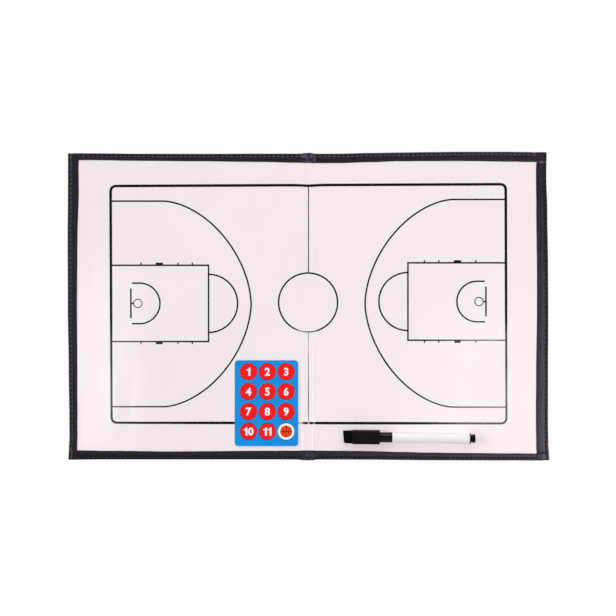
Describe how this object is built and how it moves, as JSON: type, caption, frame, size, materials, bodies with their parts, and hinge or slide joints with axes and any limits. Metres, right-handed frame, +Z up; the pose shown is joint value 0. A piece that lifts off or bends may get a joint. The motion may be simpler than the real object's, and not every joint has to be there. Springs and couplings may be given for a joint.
{
  "type": "tactics board",
  "caption": "Folding coach's board: two leatherette-bound leaves with a white court face, a card of round numbered magnets and a capped marker pen with an eraser.",
  "frame": {"origin": "underside of the open board, at the middle of the spine", "axes": "+X along the open board to the right-hand leaf, +Y along the spine to the back edge, +Z up out of the writing face"},
  "size_m": [0.47, 0.301, 0.0147],
  "materials": {
    "leatherette": "fine grain, satin",
    "greyboard": "matte",
    "steel": "zinc plated",
    "writing_film": "gloss",
    "magnet_rubber": "matte",
    "blue_vinyl": "gloss",
    "red_vinyl": "gloss",
    "white_vinyl": "gloss",
    "black_plastic": "satin",
    "white_plastic": "gloss",
    "felt": "felt",
    "nib_fibre": "fibre",
    "ink_felt": "felt"
  },
  "bodies": {
    "left_leaf": {"left_cover": "leatherette", "left_core_board": "greyboard", "left_steel_sheet": "steel", "left_film": "writing_film", "left_side_hem": "leatherette", "left_front_hem": "leatherette", "left_back_hem": "leatherette"},
    "spine": {"spine_cover": "leatherette", "spine_board": "greyboard", "spine_film": "writing_film", "spine_front_hem": "leatherette", "spine_back_hem": "leatherette"},
    "right_leaf": {"right_cover": "leatherette", "right_core_board": "greyboard", "right_steel_sheet": "steel", "right_film": "writing_film", "right_side_hem": "leatherette", "right_front_hem": "leatherette", "right_back_hem": "leatherette"},
    "magnet_card": {"card_rubber": "magnet_rubber", "card_print": "blue_vinyl"},
    "magnet_1": {"magnet_1_rubber": "magnet_rubber", "magnet_1_face": "red_vinyl"},
    "magnet_2": {"magnet_2_rubber": "magnet_rubber", "magnet_2_face": "red_vinyl"},
    "magnet_3": {"magnet_3_rubber": "magnet_rubber", "magnet_3_face": "red_vinyl"},
    "magnet_4": {"magnet_4_rubber": "magnet_rubber", "magnet_4_face": "red_vinyl"},
    "magnet_5": {"magnet_5_rubber": "magnet_rubber", "magnet_5_face": "red_vinyl"},
    "magnet_6": {"magnet_6_rubber": "magnet_rubber", "magnet_6_face": "red_vinyl"},
    "magnet_7": {"magnet_7_rubber": "magnet_rubber", "magnet_7_face": "red_vinyl"},
    "magnet_8": {"magnet_8_rubber": "magnet_rubber", "magnet_8_face": "red_vinyl"},
    "magnet_9": {"magnet_9_rubber": "magnet_rubber", "magnet_9_face": "red_vinyl"},
    "magnet_10": {"magnet_10_rubber": "magnet_rubber", "magnet_10_face": "red_vinyl"},
    "magnet_11": {"magnet_11_rubber": "magnet_rubber", "magnet_11_face": "red_vinyl"},
    "magnet_ball": {"magnet_ball_rubber": "magnet_rubber", "magnet_ball_face": "white_vinyl"},
    "pen": {"pen_barrel": "white_plastic", "pen_nose": "black_plastic", "pen_nib": "nib_fibre", "pen_ink_core": "ink_felt", "pen_tail_plug": "black_plastic"},
    "pen_cap": {"pen_cap": "black_plastic", "pen_eraser": "felt"}
  },
  "joints": [
    {"name": "left_crease", "type": "hinge", "parent": "left_leaf", "child": "spine", "pos_m": [-0.007, 0, 0.0036], "axis": [0, 1, 0], "range_deg": [-90, 0]},
    {"name": "right_crease", "type": "hinge", "parent": "spine", "child": "right_leaf", "pos_m": [0.007, 0, 0.0036], "axis": [0, 1, 0], "range_deg": [-90, 0]},
    {"name": "card_lift", "type": "slide", "parent": "left_leaf", "child": "magnet_card", "axis": [0, 0, 1], "range_m": [0, 0.04]},
    {"name": "magnet_1_lift", "type": "slide", "parent": "magnet_card", "child": "magnet_1", "axis": [0, 0, 1], "range_m": [0, 0.02]},
    {"name": "magnet_2_lift", "type": "slide", "parent": "magnet_card", "child": "magnet_2", "axis": [0, 0, 1], "range_m": [0, 0.02]},
    {"name": "magnet_3_lift", "type": "slide", "parent": "magnet_card", "child": "magnet_3", "axis": [0, 0, 1], "range_m": [0, 0.02]},
    {"name": "magnet_4_lift", "type": "slide", "parent": "magnet_card", "child": "magnet_4", "axis": [0, 0, 1], "range_m": [0, 0.02]},
    {"name": "magnet_5_lift", "type": "slide", "parent": "magnet_card", "child": "magnet_5", "axis": [0, 0, 1], "range_m": [0, 0.02]},
    {"name": "magnet_6_lift", "type": "slide", "parent": "magnet_card", "child": "magnet_6", "axis": [0, 0, 1], "range_m": [0, 0.02]},
    {"name": "magnet_7_lift", "type": "slide", "parent": "magnet_card", "child": "magnet_7", "axis": [0, 0, 1], "range_m": [0, 0.02]},
    {"name": "magnet_8_lift", "type": "slide", "parent": "magnet_card", "child": "magnet_8", "axis": [0, 0, 1], "range_m": [0, 0.02]},
    {"name": "magnet_9_lift", "type": "slide", "parent": "magnet_card", "child": "magnet_9", "axis": [0, 0, 1], "range_m": [0, 0.02]},
    {"name": "magnet_10_lift", "type": "slide", "parent": "magnet_card", "child": "magnet_10", "axis": [0, 0, 1], "range_m": [0, 0.02]},
    {"name": "magnet_11_lift", "type": "slide", "parent": "magnet_card", "child": "magnet_11", "axis": [0, 0, 1], "range_m": [0, 0.02]},
    {"name": "magnet_ball_lift", "type": "slide", "parent": "magnet_card", "child": "magnet_ball", "axis": [0, 0, 1], "range_m": [0, 0.02]},
    {"name": "pen_lift", "type": "slide", "parent": "right_leaf", "child": "pen", "axis": [0, 0, 1], "range_m": [0, 0.06]},
    {"name": "cap_pull", "type": "slide", "parent": "pen", "child": "pen_cap", "axis": [-0.9999, 0.014, 0], "range_m": [0, 0.03]}
  ],
  "couplings": [
    {"joint": "left_crease", "follows": "right_crease", "ratio": 1}
  ]
}
